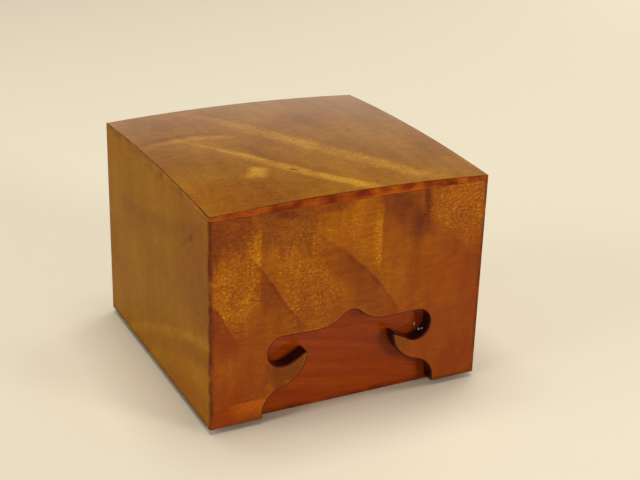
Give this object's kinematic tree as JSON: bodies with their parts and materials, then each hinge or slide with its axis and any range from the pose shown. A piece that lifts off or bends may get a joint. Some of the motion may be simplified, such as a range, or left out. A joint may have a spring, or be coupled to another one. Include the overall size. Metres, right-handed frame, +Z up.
{
  "type": "shogi piece box",
  "caption": "Square wooden piece box under a deep lift-off lid with a domed top board and a scrolled finger cut-out in the front and back walls.",
  "frame": {"origin": "middle of the box's base, on the surface that it stands on", "axes": "+X to the right, +Y to the back, +Z up; the two scrolled cut-outs are in the lid's front (-Y) and back (+Y) walls"},
  "size_m": [0.115, 0.115, 0.0908],
  "materials": {
    "lid_wood": "figured hardwood, wiped lacquer, polished",
    "top_wood": "figured hardwood, wiped lacquer, polished",
    "box_wood": "straight-grained hardwood, wiped lacquer, polished",
    "bottom_wood": "straight-grained hardwood, thin oil finish"
  },
  "bodies": {
    "box": {"box_bottom_board": "bottom_wood", "box_front_wall": "box_wood", "box_back_wall": "box_wood", "box_left_wall": "box_wood", "box_right_wall": "box_wood"},
    "lid": {"lid_front_wall": "lid_wood", "lid_back_wall": "lid_wood", "lid_left_wall": "lid_wood", "lid_right_wall": "lid_wood", "lid_top_board": "top_wood"}
  },
  "joints": [
    {"name": "lid_lift", "type": "slide", "parent": "box", "child": "lid", "axis": [0, 0, 1], "range_m": [0, 0.11]}
  ]
}
